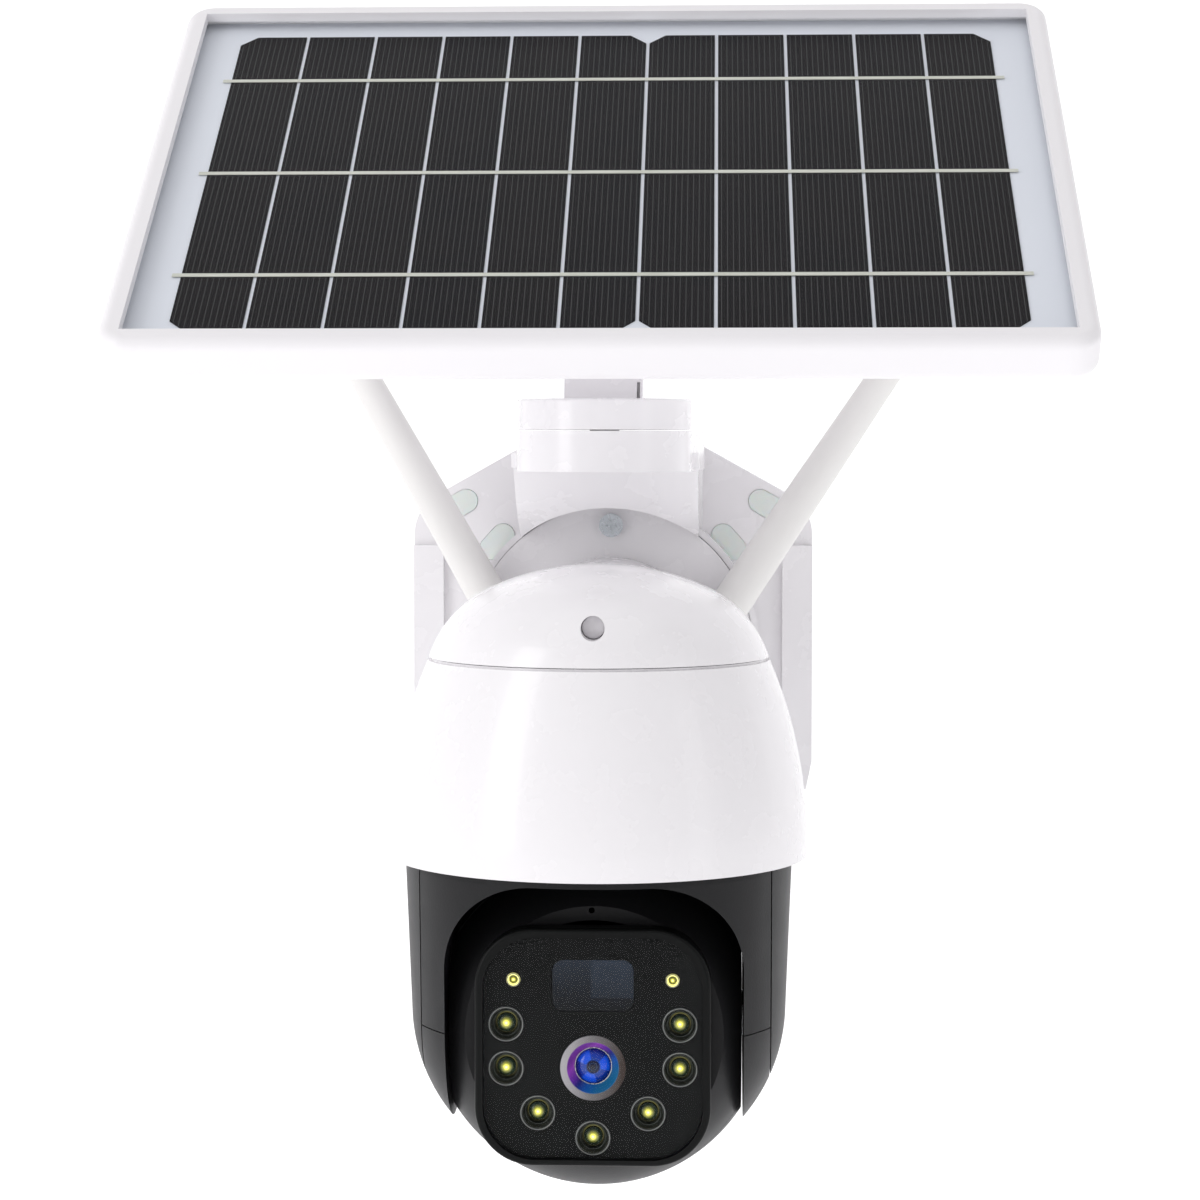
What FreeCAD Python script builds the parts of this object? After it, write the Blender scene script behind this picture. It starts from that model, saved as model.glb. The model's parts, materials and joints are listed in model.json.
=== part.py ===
import FreeCAD, Part
import math
import os
import re
import Sketcher

Vector = FreeCAD.Vector

# The solar camera hangs on a wall. Origin: the wall plane, on the axis of the neck.
# +X right as seen from the front, +Y into the wall, +Z up. Millimetres and degrees.

SIZES = {
    # dome: a cap and a shroud turned about the pan axis
    "dome_y": -135, "cap_top": 26.9, "cap_knee_r": 27, "cap_knee_z": 21.5,
    "cap_side_arc": 30.2, "cap_screw_z": 12.2, "seam_r": 45.1, "seam_z": 2.5,
    "chassis_top": -21.5, "chassis_screw_r": 1.5,
    "shroud_arc": 122.8, "rim_r": 55.4, "rim_z": -50.2, "dome_wall": 2.6,
    # yoke and camera head
    "tilt_z": -93, "head_r": 45.5, "head_half": 38, "yoke_gap": 38.5, "yoke_cavity_r": 46.7,
    "yoke_top_r": 51.4, "yoke_low_r": 49.8, "yoke_top_z": -42, "arch_top": -52.3,
    "arch_corner": 24, "side_seam_x": 45.5, "side_seam": 0.3, "cover_top": -46,
    "face_depth": 40, "face_z": -94, "bezel_w": 60.2, "bezel_h": 61, "bezel_corner": 15,
    "glass_w": 56, "glass_h": 57, "glass_corner": 13.5, "head_split": 14, "hub_r": 13,
    "tilt_shaft_r": 6, "ear_low": -120.5,
    # neck between the dome and the battery housing
    "neck_z": -2, "neck_r": 27, "neck_wall": 3, "flange_r": 42, "flange_face": -44,
    "flange_back": -39.5, "flange_screw_r": 36.4,
    # battery housing
    "case_half": 60, "case_low": -45.4, "case_low_half": 58.3, "case_taper_z": -37,
    "case_shoulder_z": 39.4, "case_top": 61.2, "case_top_half": 21, "case_corner": 14,
    "case_front": -31, "case_split": -16, "case_back": -1, "case_wall": 2.5,
    "strip_inner": 51, "strip_top": 28, "strip_front": -33.5, "plate_recess": -6,
    "gasket_half": 0.6, "case_screw_r": 1.15, "button_r": 4.2,
    # pedestal, swivel disc and post for the panel
    "boss_y": -96, "boss_r": 24.4, "boss_low": 51, "boss_seam": 62.2, "disc_top": 71,
    "pedestal_half": 27.5, "post_half": 10.8, "hinge_y": -78, "hinge_z": 110,
    "hinge_eye_r": 9, "hinge_pin_r": 3, "running_gap": 0.05,
    # solar panel, measured in its own plane: glass surface at 0
    "panel_y": -85, "panel_z": 136.6, "panel_tilt": 36.6, "panel_w": 260, "panel_h": 181,
    "panel_lip": 2.8, "panel_deep": 10.5, "panel_corner": 8, "window_w": 248,
    "window_h": 168.8, "rebate_w": 254.4, "rebate_h": 175.4, "strip_w": 19.6,
    "strip_pitch": 20.6, "strip_h": 156.75, "strip_chamfer": 4.8, "ribbon_w": 1.6,
    "ribbon_pitch": 52, "glass_deep": 2, "cell_deep": 0.3, "lug_screw_r": 1.6, "knob_r": 9.9,
    # antennas
    "antenna_y": -53, "antenna_x": 32, "antenna_z": 6.5, "antenna_length": 104,
    "antenna_base_r": 5.9, "antenna_tip_r": 4.3, "lean_left": 29.5, "lean_right": 33.7,
    "tongue_half": 1.4, "tongue_gap": 0.4, "antenna_pin_r": 1.3,
    # gears
    "gear_module": 0.8, "pan_teeth": 48, "pan_pinion_teeth": 16, "tilt_teeth": 30,
    "tilt_pinion_teeth": 15, "backlash": 0.2,
}

doc = FreeCAD.newDocument("solar_camera")
sheet = doc.addObject("Spreadsheet::Sheet", "dims")
for row, (alias, value) in enumerate(SIZES.items(), start=1):
    sheet.set("A%d" % row, alias)
    sheet.set("B%d" % row, str(value))
    sheet.setAlias("B%d" % row, alias)
doc.recompute()

nodes = []


def bound(formula):
    """The formula with every size name pointing at its cell in the sheet."""
    return re.sub(r"[a-z]\w*", lambda m: "dims." + m.group() if m.group() in SIZES else m.group(),
                  str(formula))


def number(formula):
    """The value of a formula now."""
    return float(sheet.evalExpression(bound(formula)))


def bind(thing, **formulas):
    for name, formula in formulas.items():
        thing.setExpression(name.replace("__", "."), bound(formula))
    return thing


def place(thing, x=0, y=0, z=0):
    bind(thing, Placement__Base__x=x, Placement__Base__y=y, Placement__Base__z=z)
    return thing


def box(x, y, z):
    """A block from its low and high x, y and z."""
    block = doc.addObject("Part::Box", "block")
    bind(block, Length="(%s) - (%s)" % (x[1], x[0]), Width="(%s) - (%s)" % (y[1], y[0]),
         Height="(%s) - (%s)" % (z[1], z[0]))
    return place(block, x[0], y[0], z[0])


TURNS = {"x": FreeCAD.Rotation(Vector(0, 1, 0), 90), "y": FreeCAD.Rotation(Vector(1, 0, 0), -90),
         "z": FreeCAD.Rotation()}


def along(thing, axis, centre, start):
    """Puts a primitive with its axis along x, y or z; centre gives the other two places."""
    thing.Placement = FreeCAD.Placement(Vector(), TURNS[axis])
    spot = {"x": (start, centre[0], centre[1]), "y": (centre[0], start, centre[1]),
            "z": (centre[0], centre[1], start)}[axis]
    return place(thing, *spot)


def rod(axis, centre, radius, span):
    bar = doc.addObject("Part::Cylinder", "rod")
    bind(bar, Radius=radius, Height="(%s) - (%s)" % (span[1], span[0]))
    return along(bar, axis, centre, span[0])


def cone(axis, centre, radius_1, radius_2, span):
    taper = doc.addObject("Part::Cone", "cone")
    bind(taper, Radius1=radius_1, Radius2=radius_2, Height="(%s) - (%s)" % (span[1], span[0]))
    return along(taper, axis, centre, span[0])


def ball(centre, radius):
    sphere = doc.addObject("Part::Sphere", "ball")
    bind(sphere, Radius=radius)
    return place(sphere, *centre)


def fuse(*things):
    joined = doc.addObject("Part::MultiFuse", "fuse")
    joined.Shapes = list(things)
    return joined


def together(*things):
    """Separate solids of one sub-part, such as a set of screws."""
    group = doc.addObject("Part::Compound", "group")
    group.Links = list(things)
    return group


def cut(base, *tools):
    for tool in tools:
        result = doc.addObject("Part::Cut", "cut")
        result.Base = base
        result.Tool = tool
        base = result
    return base


def common(base, tool):
    result = doc.addObject("Part::Common", "common")
    result.Base = base
    result.Tool = tool
    return result


def rounded(base, radius, wanted):
    """Fillets the edges that wanted(edge) picks."""
    doc.recompute()
    edges = [i + 1 for i, edge in enumerate(base.Shape.Edges) if wanted(edge)]
    fillet = doc.addObject("Part::Fillet", "fillet")
    fillet.Base = base
    fillet.Edges = [(i, number(radius), number(radius)) for i in edges]
    return fillet


def runs_along(direction):
    """Picks straight edges that run along a direction."""
    def wanted(edge):
        return edge.Curve.TypeId == "Part::GeomLine" and abs(edge.Curve.Direction.dot(direction)) > 0.999
    return wanted


def node(name, thing):
    thing.Label = name
    nodes.append(thing)
    return thing


def new_sketch(body, role, outline):
    """A closed outline of points (a, b), or (a, b, radius, side) where an arc starts."""
    sketch = body.newObject("Sketcher::SketchObject", "outline")
    plane = [f for f in body.Origin.OriginFeatures if f.Role == role][0]
    sketch.AttachmentSupport = [(plane, "")]
    sketch.MapMode = "FlatFace"
    spots = [Vector(number(p[0]), number(p[1]), 0) for p in outline]
    for i, point in enumerate(outline):
        start, end = spots[i], spots[(i + 1) % len(spots)]
        edge = Part.LineSegment(start, end)
        if len(point) == 4:
            chord = end - start
            radius = number(point[2])
            rise = radius - math.sqrt(radius ** 2 - chord.Length ** 2 / 4)
            side = Vector(-chord.y, chord.x, 0).normalize() * (rise * point[3])
            edge = Part.Arc(start, (start + end) / 2 + side, end)
        sketch.addGeometry(edge, False)
        if len(point) == 4:
            index = sketch.addConstraint(Sketcher.Constraint("Radius", i, radius))
            sketch.setExpression("Constraints[%d]" % index, bound(point[2]))
    ends = []
    for i, geometry in enumerate(sketch.Geometry):
        starts_here = (geometry.StartPoint - spots[i]).Length < 1e-6
        ends.append((1, 2) if starts_here else (2, 1))
    for i, point in enumerate(outline):
        after = (i + 1) % len(outline)
        sketch.addConstraint(Sketcher.Constraint("Coincident", i, ends[i][1], after, ends[after][0]))
        for kind, formula, value in (("DistanceX", point[0], spots[i].x),
                                     ("DistanceY", point[1], spots[i].y)):
            index = sketch.addConstraint(Sketcher.Constraint(kind, -1, 1, i, ends[i][0], value))
            sketch.setExpression("Constraints[%d]" % index, bound(formula))
    return sketch


def padded(role, outline, span):
    """A prism: the outline on XY, XZ or YZ, from low to high along the plane's normal."""
    body = doc.addObject("PartDesign::Body", "prism")
    sketch = new_sketch(body, role, outline)
    pad = body.newObject("PartDesign::Pad", "pad")
    pad.Profile = sketch
    bind(pad, Length="(%s) - (%s)" % (span[1], span[0]))
    bind(sketch, AttachmentOffset__Base__z=span[0])
    sketch.Visibility = False
    return body


def turned(outline, x=0, y=0):
    """A solid turned about a vertical axis; the outline is in radius and height."""
    body = doc.addObject("PartDesign::Body", "turned")
    sketch = new_sketch(body, "XZ_Plane", outline)
    revolution = body.newObject("PartDesign::Revolution", "revolution")
    revolution.Profile = sketch
    revolution.ReferenceAxis = (sketch, ["V_Axis"])
    revolution.Angle = 360
    return place(body, x, y, 0)


def screw(axis, centre, head, tip, head_r=2.8, head_deep=2, shank_r=1.5):
    """A pan-head screw with its head at head, pointing at tip along the axis."""
    way = "+" if number(tip) > number(head) else "-"
    neck = "%s %s %s" % (head, way, head_deep)
    spans = [(head, neck), (neck, tip)]
    if way == "-":
        spans = [(b, a) for a, b in spans]
    return fuse(rod(axis, centre, head_r, spans[0]), rod(axis, centre, shank_r, spans[1]))


# ---------------------------------------------------------------- wall plate and battery housing

WALL_HOLES = [(sx * 30, sz * 22) for sx in (-1, 1) for sz in (-1, 1)]


def wall_plate():
    plate = box((-42, 42), (-3, 0), (-36, 36))
    tab = box((-9, 9), (-5.6, -0.5), (-40, -35))
    holes = [rod("y", hole, 2.3, (-4, 1)) for hole in WALL_HOLES]
    thread = rod("z", (0, -3), 1.4, (-41, -34))
    return cut(fuse(plate, tab), *holes, thread)


def case_outline(inset):
    """The housing seen from the front, moved in by inset."""
    corners = [("case_low_half", "case_low"), ("case_half", "case_taper_z"),
               ("case_half", "case_shoulder_z"), ("case_top_half", "case_top")]
    right = [("%s - (%s)" % (x, inset), "%s + (%s) * %d" % (z, inset, 1 if "low" in z else -1))
             for x, z in corners]
    left = [("-(%s)" % x, z) for x, z in reversed(right)]
    return right + left


def case_prism(inset, span):
    """A slab of the housing between two y planes; XZ sketches face -Y, so y is reversed."""
    prism = padded("XZ_Plane", case_outline(inset), ("-(%s)" % span[1], "-(%s)" % span[0]))
    shoulder_z = "case_shoulder_z - (%s)" % inset

    def shoulder(edge):
        spot = edge.CenterOfMass
        return runs_along(Vector(0, 1, 0))(edge) and abs(spot.z - number(shoulder_z)) < 0.5
    return rounded(prism, "case_corner - (%s)" % inset, shoulder)


# x, z and turn of the shoulder plugs on the right; the left ones mirror them
PLUG_SPOTS = [(34.9, 29, 42), (46.6, 40, 60)]
CASE_SCREW_SEAT = "case_front + 3.6"
# x and y of what sits in the housing's bottom
BUTTON_SPOT = (25, -22)
PORT_SPOT = (-25, -23.5)
INLET_SPOT = (0, -23.5)


def plug_slot(x, z, turn, half_w, half_l, span):
    """An oblong block with round ends, turned in the housing's front."""
    bar = fuse(box(("-(%s)" % half_w, half_w), span, (-half_l, half_l)),
               *[rod("y", (0, end), half_w, span) for end in (-half_l, half_l)])
    bar.Placement = FreeCAD.Placement(Vector(), FreeCAD.Rotation(Vector(0, 1, 0), turn))
    return place(bar, x, 0, z)


def plug_set(half_w, half_l, span):
    """One oblong block for each shoulder plug."""
    return [plug_slot(side * x, z, side * -turn, half_w, half_l, span)
            for x, z, turn in PLUG_SPOTS for side in (-1, 1)]


def case_screw_spots():
    """The four screws that hold the halves together hide behind the shoulder plugs."""
    return [(side * x, z) for x, z, _ in PLUG_SPOTS for side in (-1, 1)]


def gasket_ring(slack):
    """The cord between the halves, made thicker by slack to cut its groove."""
    span = ("case_split - gasket_half - %s" % slack, "case_split + gasket_half + %s" % slack)
    return cut(case_prism("case_wall * 0.35 - %s" % slack, span),
               case_prism("case_wall * 0.7 + %s" % slack, ("case_split - 2", "case_split + 2")))


def housing_rear():
    shell = cut(case_prism(0, ("case_split", "case_back")),
                case_prism("case_wall", ("case_split - 1", "plate_recess - case_wall")))
    recess = box((-43, 43), ("plate_recess", 1), (-41, 37))
    lock = rod("z", (0, -3), 1.7, (-50, -40))
    posts = [rod("y", spot, 3.2, ("case_split", -8)) for spot in case_screw_spots()]
    threads = [rod("y", spot, "case_screw_r + 0.05", ("case_split - 1", -10)) for spot in case_screw_spots()]
    return cut(fuse(cut(shell, recess, lock), *posts), *threads, gasket_ring(0.05))


def pedestal():
    """The round-fronted shelf under the swivel disc, and the scoop that carries it."""
    shelf = padded("XY_Plane", [("boss_r", "boss_y"), ("pedestal_half", -50), ("pedestal_half", -20),
                                ("-pedestal_half", -20), ("-pedestal_half", -50), ("-boss_r", "boss_y")],
                   ("boss_low", "boss_seam"))
    nose = rod("z", (0, "boss_y"), "boss_r", ("boss_low", "boss_seam"))
    scoop = padded("YZ_Plane", [(-18, 30), (-18, 56), (-108, 56), (-108, "boss_low + 1"),
                                (-88, "boss_low + 1", 60, -1), ("flange_face + 6", 30)], (-26, 26))
    # the flare stops short of the antennas where they fold furthest in
    flare = padded("YZ_Plane", [(-18, 20), (-18, 54), (-58, 54), ("flange_face + 6", 30, 40, -1),
                                ("flange_face + 8", 20)], (-27, 27))
    flange_room = rod("y", (0, "neck_z"), "flange_r + 0.2", (-110, -39))
    support = fuse(common(scoop, rod("z", (0, -60), 45, (20, 58))), common(flare, case_prism(0, (-70, -17))))
    return fuse(shelf, nose, cut(support, flange_room))


def housing_front():
    body = case_prism(0, ("case_front", "case_split"))
    strips = [common(case_prism(0, ("strip_front", "case_front + 1")),
                     box(x, (-50, 0), ("case_low - 5", "strip_top")))
              for x in (("strip_inner", "case_half + 5"), ("-case_half - 5", "-strip_inner"))]
    ring = rod("y", (0, "neck_z"), "flange_r + 2", ("flange_face + 2", "case_front + 2"))
    solid = fuse(body, *strips, ring, pedestal())
    hollow = case_prism("case_wall", ("case_front + case_wall + 1", "case_split + 1"))
    seat = rod("y", (0, "neck_z"), "flange_r + 0.2", ("flange_face - 3", "flange_back"))
    duct = rod("y", (0, "neck_z"), "neck_r - neck_wall", (-50, -10))
    slots = plug_set(3.6, 2.6, ("case_front - 1", "case_front + 1.6"))
    towers = [rod("y", spot, 3.9, ("case_front + 2", "case_split")) for spot in case_screw_spots()]
    holes = [rod("y", spot, 1.3, (-40, -10)) for spot in case_screw_spots()]
    seats = [rod("y", spot, 3.1, ("case_front + 1", CASE_SCREW_SEAT)) for spot in case_screw_spots()]
    swivel_hole = rod("z", (0, "boss_y"), 4.2, ("boss_low - 2", "boss_seam + 1"))
    nut_room = rod("z", (0, "boss_y"), 8, ("boss_low - 6", "boss_low + 4"))
    flange_holes = [rod("y", spot, 1.3, (-50, -33)) for spot in flange_spots()]
    bottom = [rod("z", BUTTON_SPOT, "button_r + 0.3", (-50, -40)), rod("z", PORT_SPOT, 6.2, (-50, -40)),
              rod("z", INLET_SPOT, 4.2, (-50, -40))]
    return cut(fuse(cut(solid, hollow), *towers), seat, duct, *slots, *holes, *seats, swivel_hole,
               nut_room, *flange_holes, *bottom, gasket_ring(0.05))


def housing_screws():
    """The lock screw under the wall plate's tab, and the four that close the housing."""
    lock = screw("z", (0, -3), "case_low - 2.2", -36, 2.7, 2.2, 1.35)
    closing = [screw("y", spot, "%s - 2" % CASE_SCREW_SEAT, -10.2, 3, 2, "case_screw_r")
               for spot in case_screw_spots()]
    return together(lock, *closing)


def flange_spots():
    turns = (90, 270, 20, 160)
    radius = number("flange_screw_r")
    return [(radius * math.cos(math.radians(turn)), number("neck_z") + radius * math.sin(math.radians(turn)))
            for turn in turns]


def battery_cells():
    cells = []
    for i in range(6):
        x = (i - 2.5) * 18.7
        can = rod("z", (x, -17.8), 9.1, (-40, 23.4))
        tip = rod("z", (x, -17.8), 2.6, (23.3, 25))
        cells.append(fuse(can, tip))
    return together(*cells)


def charge_board():
    board = box((-26, 26), (-23.5, -21.9), (27, 52))
    chips = [box((x, x + 7), (-21.9, -20.3), (z, z + 7)) for x, z in ((-20, 38), (-6, 33), (8, 40))]
    coil = rod("y", (18, 33), 4, (-21.9, -17))
    plug = box((-22, -10), (-21.9, -15), (28, 34))
    return fuse(board, *chips, coil, plug)


def power_button():
    cap = rod("z", BUTTON_SPOT, "button_r", ("case_low - 1.6", "case_low + 1.2"))
    collar = rod("z", BUTTON_SPOT, "button_r + 1",
                 ("case_low + case_wall + 0.3", "case_low + case_wall + 1.2"))
    stem = rod("z", BUTTON_SPOT, 2, ("case_low", "case_low + case_wall + 1"))
    return fuse(cap, stem, collar)


def port_plug():
    return fuse(rod("z", PORT_SPOT, 6, ("case_low - 1", "case_low + case_wall")),
                box((-27, -23), (-32.5, -24), ("case_low - 1", "case_low - 0.1")))


def solar_inlet():
    """The gland that the panel's lead goes in through."""
    barrel = rod("z", INLET_SPOT, 4, ("case_low - 2", "case_low + case_wall + 2"))
    rim = rod("z", INLET_SPOT, 5.4, ("case_low - 1.8", "case_low - 0.05"))
    nose = cone("z", INLET_SPOT, 3, 4.2, ("case_low - 6", "case_low - 1.8"))
    return cut(fuse(barrel, rim, nose), rod("z", INLET_SPOT, 1.7, ("case_low - 7", "case_low - 5")))


# ---------------------------------------------------------------- neck and dome

def neck():
    flange = rod("y", (0, "neck_z"), "flange_r", ("flange_face", "flange_back"))
    tube = rod("y", (0, "neck_z"), "neck_r", ("dome_y + 40", "flange_back"))
    duct = rod("y", (0, "neck_z"), "neck_r - neck_wall", ("dome_y + 39", -10))
    holes = [rod("y", spot, 1.8, (-50, -30)) for spot in flange_spots()]
    ports = [rod("x", ("antenna_y", "antenna_z"), 3.3, (-40, -15)),
             rod("x", ("antenna_y", "antenna_z"), 3.3, (15, 40))]
    ledge = box((-17, 17), ("dome_y + 30", "dome_y + 42"), ("chassis_top + 0.05", "chassis_top + 3"))
    return cut(fuse(cut(fuse(flange, tube), duct), ledge), *holes, *ports)


def crown_arc(half, rise):
    """The radius of a cap that is half wide and rises by rise, centred on the axis."""
    return "((%s) ^ 2 + (%s) ^ 2) / (2 * (%s))" % (half, rise, rise)


def dome_inner():
    """The room inside cap and shroud."""
    knee_r = "cap_knee_r - 1"
    knee_z = "cap_knee_z - dome_wall + 0.2"
    rise = "cap_top - cap_knee_z - 0.2"
    return turned([(0, "rim_z - 1"), ("rim_r - dome_wall", "rim_z - 1"),
                   ("rim_r - dome_wall", "rim_z", "shroud_arc - dome_wall", -1),
                   ("seam_r - dome_wall", "seam_z", "cap_side_arc - dome_wall", -1),
                   (knee_r, knee_z, crown_arc(knee_r, rise), -1),
                   (0, "cap_top - dome_wall")], 0, "dome_y")


def dome_cap():
    outer = turned([(0, "seam_z"), ("seam_r", "seam_z", "cap_side_arc", -1),
                    ("cap_knee_r", "cap_knee_z", crown_arc("cap_knee_r", "cap_top - cap_knee_z"), -1),
                    (0, "cap_top")], 0, "dome_y")
    neck_way = rod("y", (0, "neck_z"), "neck_r + 0.1", ("dome_y + 37", -40))
    screw_well = rod("y", (0, "cap_screw_z"), 3.05, ("dome_y - 60", "dome_y - 29.9"))
    tower = rod("y", (0, "cap_screw_z"), 5, ("dome_y - 42", "dome_y - 26"))
    hollow = cut(outer, dome_inner())
    return cut(fuse(hollow, common(tower, dome_inner())), neck_way, screw_well,
               rod("y", (0, "cap_screw_z"), 1.7, ("dome_y - 32", "dome_y - 20")))


def cap_screw():
    spot = (0, number("cap_screw_z"))
    return cross_cut(screw("y", spot, "dome_y - 31.9", "dome_y - 20"), spot, "dome_y - 31.9")


def cross_cut(thing, centre, head):
    """The cross recess of a screw head that faces -Y."""
    x, z = centre
    span = ("%s - 1" % head, "%s + 1" % head)
    return cut(thing, box((x - 1.7, x + 1.7), span, (z - 0.35, z + 0.35)),
               box((x - 0.35, x + 0.35), span, (z - 1.7, z + 1.7)))


def dome_shroud():
    outer = turned([(0, "rim_z"), ("rim_r", "rim_z", "shroud_arc", -1), ("seam_r", "seam_z - 0.25"),
                    (0, "seam_z - 0.25")], 0, "dome_y")
    groove = cut(rod("z", (0, "dome_y"), "seam_r + 3", ("seam_z - 0.85", "seam_z")),
                 rod("z", (0, "dome_y"), "seam_r - 0.7", ("seam_z - 1", "seam_z + 1")))
    neck_way = rod("y", (0, "neck_z"), "neck_r + 0.1", ("dome_y + 37", -40))
    return fuse(cut(outer, dome_inner(), neck_way, groove), chassis_ring())


def chassis_ring():
    """The ledge inside the shroud that the chassis plate sits on."""
    ring = cut(rod("z", (0, "dome_y"), 51.6, (-27, -24)), rod("z", (0, "dome_y"), 44, (-28, -23)))
    return cut(ring, rod("y", (0, "neck_z"), "neck_r + 0.1", ("dome_y + 37", -40)),
               *[rod("z", spot, "chassis_screw_r + 0.05", (-26.7, -23)) for spot in chassis_spots()])


def chassis_plate():
    plate = rod("z", (0, "dome_y"), 49, (-24, "chassis_top"))
    bore = rod("z", (0, "dome_y"), 13.05, (-25, -20))
    motor_bore = rod("z", (PAN_CENTRES, "dome_y"), 4, (-25, -20))
    neck_way = rod("y", (0, "neck_z"), "neck_r + 0.1", ("dome_y + 37", -40))
    column = box((-5, 5), ("dome_y - 25.9", "dome_y - 19.2"), ("chassis_top", "cap_screw_z + 4"))
    holes = [rod("z", spot, 1.7, (-25, -20)) for spot in chassis_spots()]
    return cut(fuse(cut(plate, bore, motor_bore, neck_way), column), *holes,
               rod("y", (0, "cap_screw_z"), 1.55, ("dome_y - 40", "dome_y - 19")))


def chassis_spots():
    middle = number("dome_y")
    return [(46.4 * math.cos(math.radians(turn)), middle + 46.4 * math.sin(math.radians(turn)))
            for turn in (0, 180, 250, 290)]


def chassis_screws():
    return [screw("z", spot, "chassis_top + 1.9", "-26.6", 2.3, 1.9, "chassis_screw_r")
            for spot in chassis_spots()]


def main_board():
    board = box((-24, 24), ("dome_y - 19", "dome_y + 19"), (-3, -1.4))
    chip = box((-8, 8), ("dome_y - 8", "dome_y + 8"), (-1.4, 0.4))
    shield = box((-22, -11), ("dome_y - 6", "dome_y + 12"), (-1.4, 1.6))
    sockets = [box((x, x + 5), ("dome_y - 18", "dome_y - 12"), (-1.4, 3)) for x in (-14, 6, 13)]
    legs = [rod("z", (x, "dome_y + %d" % y), 2, (-21.5, -3)) for x in (-21, 21) for y in (-16, 16)]
    return fuse(board, chip, shield, *sockets, *legs)


def pan_motor():
    centre = (PAN_CENTRES, "dome_y")
    can = rod("z", centre, 10.5, (-21.5, -7))
    return fuse(can, rod("z", centre, 1.5, (-36, -21.5)))


# ---------------------------------------------------------------- gears

def gear_profile(teeth, first_angle):
    """The outline of an involute gear with a tooth at first_angle, as a closed wire."""
    module = number("gear_module")
    pitch_r = module * teeth / 2
    base_r = pitch_r * math.cos(math.radians(20))
    tip_r = pitch_r + 0.85 * module
    root_r = pitch_r - 1.1 * module
    half = math.pi / (2 * teeth) - number("backlash") / (2 * pitch_r)

    def flank(radius):
        """Half the tooth's angle at a radius."""
        def involute(r):
            angle = math.acos(min(1, base_r / r))
            return math.tan(angle) - angle
        return half + involute(pitch_r) - involute(max(radius, base_r))

    radii = [root_r + (tip_r - root_r) * step / 6 for step in range(7)]
    points = []
    for tooth in range(teeth):
        middle = first_angle + 2 * math.pi * tooth / teeth
        turns = [(r, middle - flank(r)) for r in radii] + [(r, middle + flank(r)) for r in reversed(radii)]
        points += [Vector(r * math.cos(a), r * math.sin(a), 0) for r, a in turns]
    return Part.makePolygon(points + [points[0]])


def gear(teeth, first_angle, width, bore_r):
    face = Part.Face(gear_profile(teeth, first_angle))
    solid = face.extrude(Vector(0, 0, width))
    if bore_r:
        solid = solid.cut(Part.makeCylinder(bore_r, width * 3, Vector(0, 0, -width)))
    wheel = doc.addObject("Part::Feature", "gear")
    wheel.Shape = solid
    return wheel


def pan_gear():
    wheel = gear(int(number("pan_teeth")), 0, 5, number("hub_r"))
    return place(wheel, 0, "dome_y", -35)


def pan_pinion():
    teeth = int(number("pan_pinion_teeth"))
    wheel = gear(teeth, math.pi + math.pi / teeth, 6, 1.5)
    return place(wheel, PAN_CENTRES, "dome_y", -35.5)


def laid_along_x(wheel, y, z, x):
    """Lays a gear with its axis along X."""
    wheel.Placement = FreeCAD.Placement(Vector(), TURNS["x"])
    return place(wheel, x, y, z)


def tilt_gear():
    """The gear fixed to the yoke's right shaft; the motor in the head walks round it."""
    wheel = gear(int(number("tilt_teeth")), math.pi / 2, 3.6, number("tilt_shaft_r"))
    return laid_along_x(wheel, "dome_y", "tilt_z", 30)


def tilt_pinion():
    teeth = int(number("tilt_pinion_teeth"))
    wheel = gear(teeth, -math.pi / 2 + math.pi / teeth, 4, 1)
    return laid_along_x(wheel, "dome_y + %s" % TILT_CENTRES, "tilt_z", 29.8)


# ---------------------------------------------------------------- yoke

def yoke_blank():
    """The yoke before it is split: a drum with round lower ends, an arch and a ball's room."""
    drum = turned([(0, "ear_low"), ("yoke_gap", "ear_low", 46, -1), ("yoke_low_r", "tilt_z"),
                   ("yoke_top_r", "arch_top"), ("yoke_top_r - 0.4", "yoke_top_z + 1"),
                   ("yoke_top_r - 1.4", "yoke_top_z"), (0, "yoke_top_z")], 0, "dome_y")
    arch = box(("-yoke_gap", "yoke_gap"), (-200, -70), (-160, "arch_top"))
    arch = rounded(arch, "arch_corner", lambda edge: runs_along(Vector(0, 1, 0))(edge)
                   and edge.CenterOfMass.z > -100)
    room = common(ball((0, "dome_y", "tilt_z"), "yoke_cavity_r"),
                  box(("-yoke_gap", "yoke_gap"), (-200, -70), (-150, -40)))
    drum = fuse(drum, rod("z", (0, "dome_y"), "hub_r", ("yoke_top_z - 1", -18)))
    shafts = rod("x", ("dome_y", "tilt_z"), "tilt_shaft_r", ("-side_seam_x", "side_seam_x"))
    return cut(drum, arch, room, rod("z", (0, "dome_y"), "hub_r - 4", (-60, -10)), shafts,
               *arm_pockets())


def arm_pockets():
    """The rooms inside the arms, right and left."""
    drum = rod("z", (0, "dome_y"), "yoke_low_r - 2.4", (-112, -60))
    blocks = [common(drum, box(x, ("dome_y - 19", "dome_y + 19"), (-102, -61)))
              for x in (("yoke_gap + 2.4", 60), (-60, "-yoke_gap - 2.4"))]
    return blocks


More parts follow.
